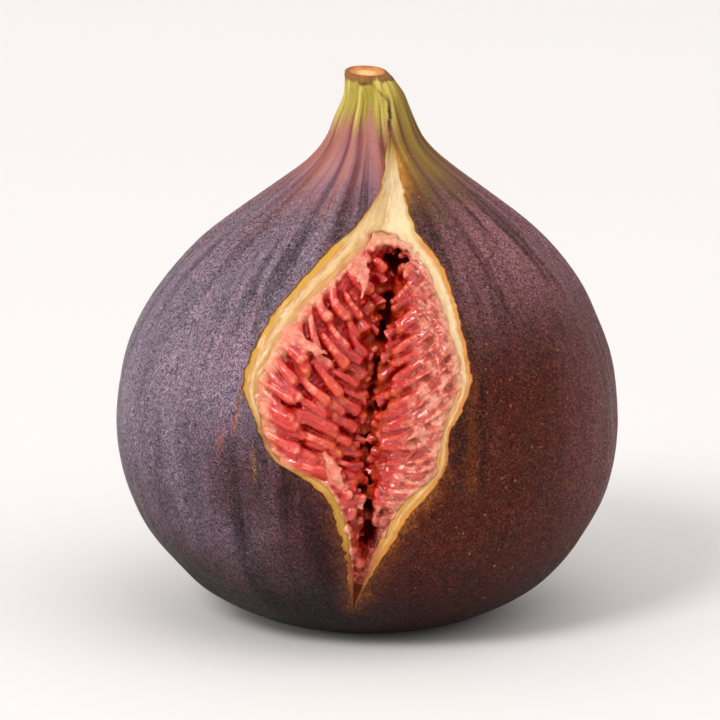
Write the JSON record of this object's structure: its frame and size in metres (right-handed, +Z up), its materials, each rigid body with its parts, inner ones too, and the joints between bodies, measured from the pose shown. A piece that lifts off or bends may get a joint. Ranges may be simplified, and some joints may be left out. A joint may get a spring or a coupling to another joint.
{
  "type": "fresh fig",
  "caption": "Ripe purple fresh fig, burst open down its front to show the cream rind and the red pulp of florets, standing on its flattened base with the stalk up.",
  "frame": {"origin": "on the surface that the fig stands on, under the middle of its bounding box", "axes": "+Z up through the stalk, -Y out through the split, +X to the right of the split as it is looked at"},
  "size_m": [0.05, 0.048, 0.055],
  "materials": {
    "skin": "purple fig skin with a thin waxy bloom, pale cream where the rind is torn, olive green at the neck",
    "pulp": "wet red pulp of slim florets with paler rounded seed ends"
  },
  "bodies": {
    "root": {"fruit": "skin", "florets": "pulp"}
  },
  "joints": []
}
